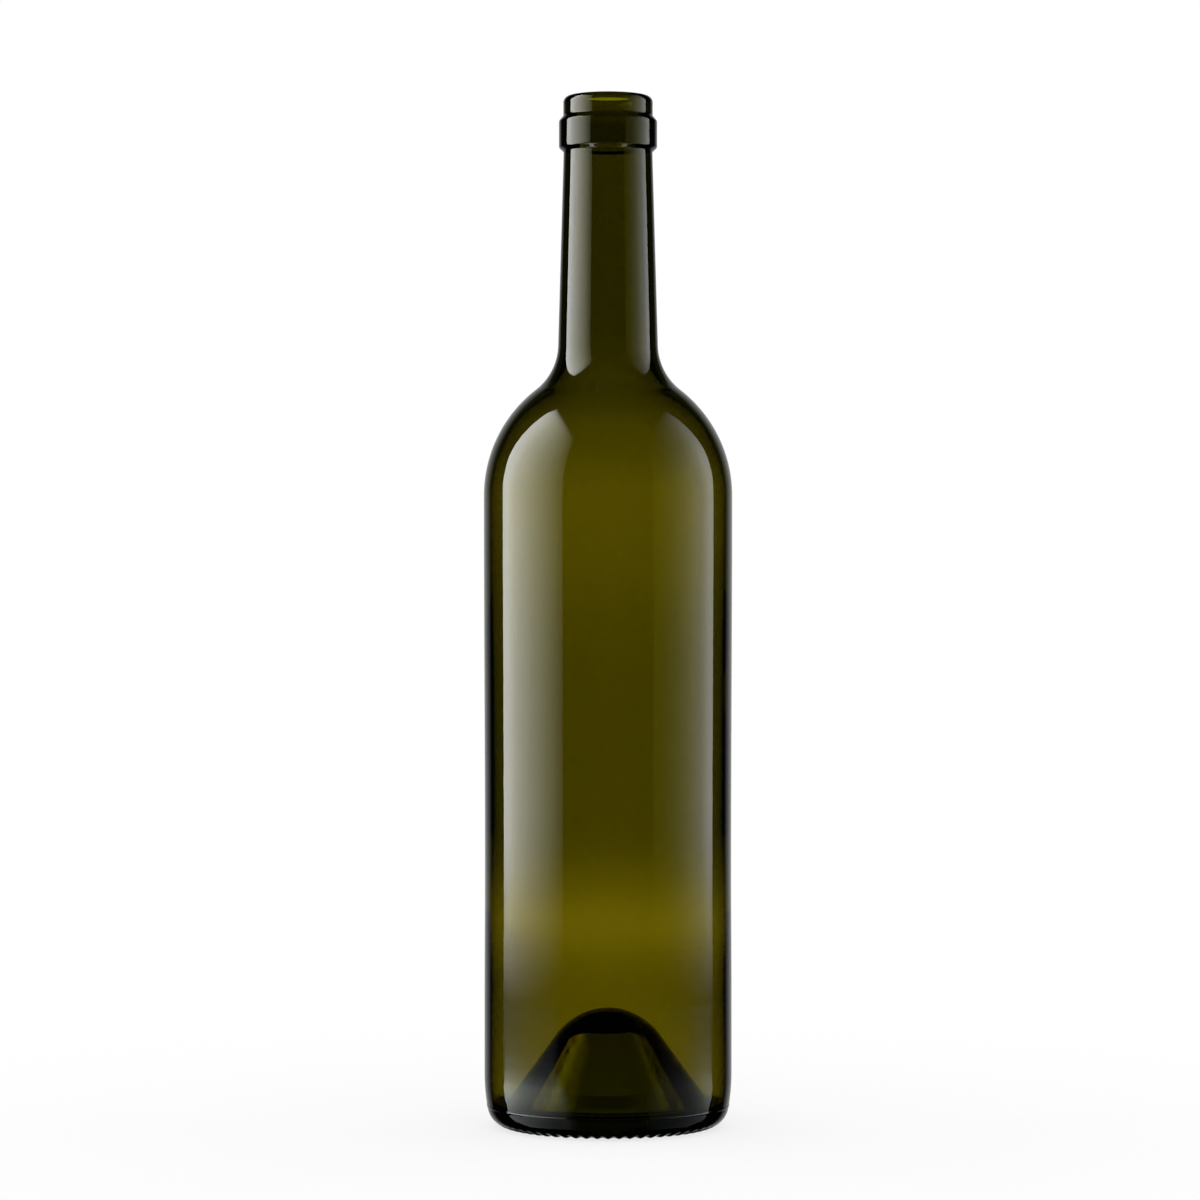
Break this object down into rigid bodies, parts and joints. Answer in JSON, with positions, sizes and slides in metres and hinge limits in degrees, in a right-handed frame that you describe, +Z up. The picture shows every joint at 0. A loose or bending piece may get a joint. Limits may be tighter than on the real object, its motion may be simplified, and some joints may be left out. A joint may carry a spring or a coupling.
{
  "type": "wine bottle",
  "caption": "Empty straight-sided wine bottle in dark olive glass, with high round shoulders, a banded mouth for a driven cork and a deep punt in the base.",
  "frame": {"origin": "centre of the standing ring, on the plane that the bottle stands on", "axes": "+Z up the bottle's axis to the mouth; X and Y are across it"},
  "size_m": [0.0744, 0.0744, 0.3084],
  "materials": {
    "olive_glass": "fire-polished dark olive-green bottle glass, clear and smooth, darkest where it is thick"
  },
  "bodies": {
    "root": {"mouth_lip": "olive_glass", "collar_ring": "olive_glass", "neck": "olive_glass", "shoulder": "olive_glass", "body_wall": "olive_glass", "heel": "olive_glass", "bearing_ring": "olive_glass", "punt": "olive_glass"}
  },
  "joints": []
}
